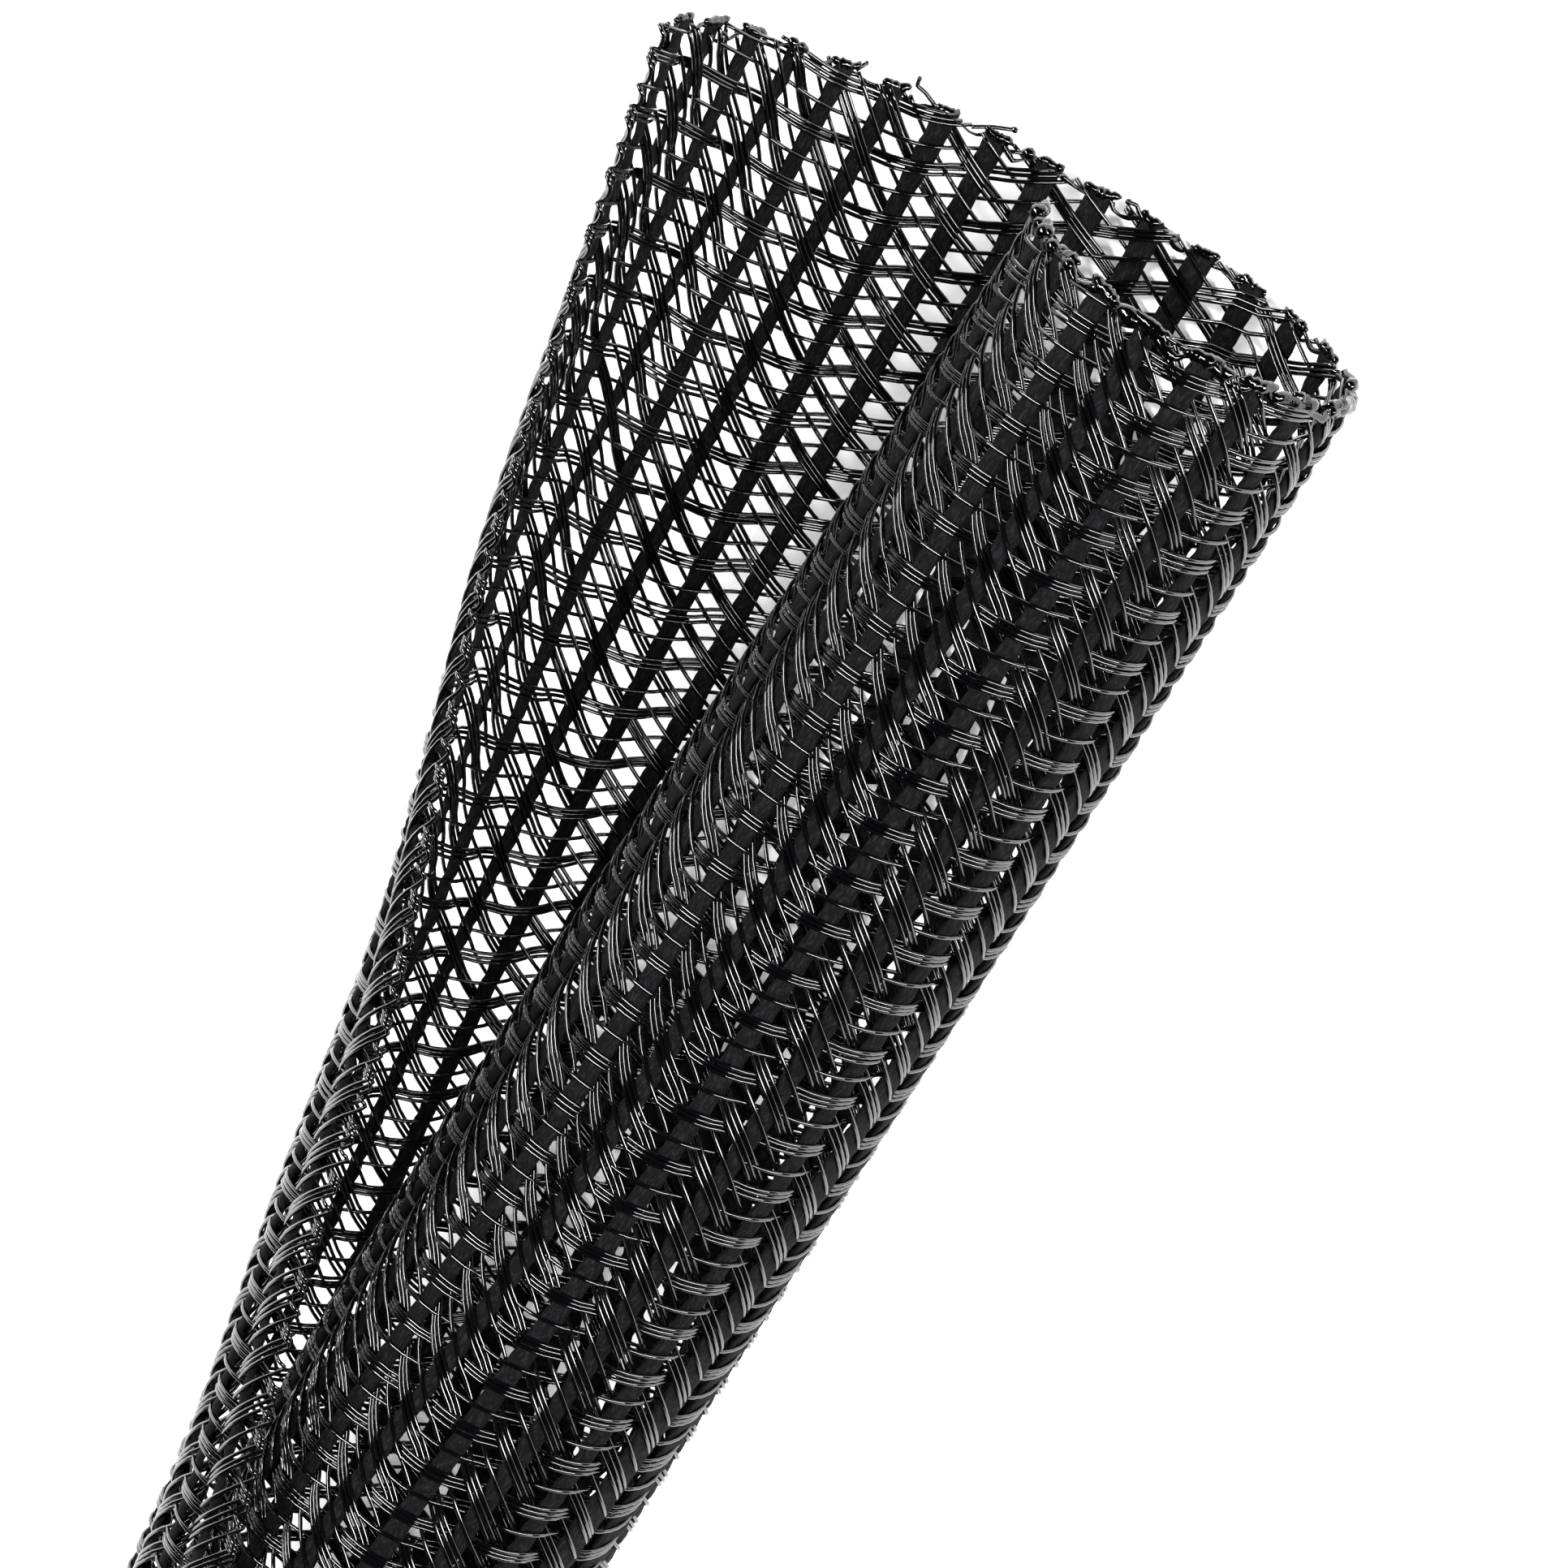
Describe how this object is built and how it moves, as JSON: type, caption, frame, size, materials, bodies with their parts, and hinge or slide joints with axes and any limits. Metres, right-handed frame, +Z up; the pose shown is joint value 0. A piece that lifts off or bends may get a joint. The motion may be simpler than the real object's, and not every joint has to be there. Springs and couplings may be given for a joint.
{
  "type": "split braided cable sleeve",
  "caption": "Cut length of black self-wrapping braided cable sleeve, closed along most of its length and spread open at one cut end.",
  "frame": {"origin": "centre of the bounding box, on the floor", "axes": "+Y along the sleeve towards the opened cut end, +X towards the curled side, +Z up"},
  "size_m": [0.0534, 0.305, 0.0317],
  "materials": {
    "black_polyester": "glossy filaments over matt yarns"
  },
  "bodies": {
    "root": {"sleeve_wall": "black_polyester"}
  },
  "joints": []
}
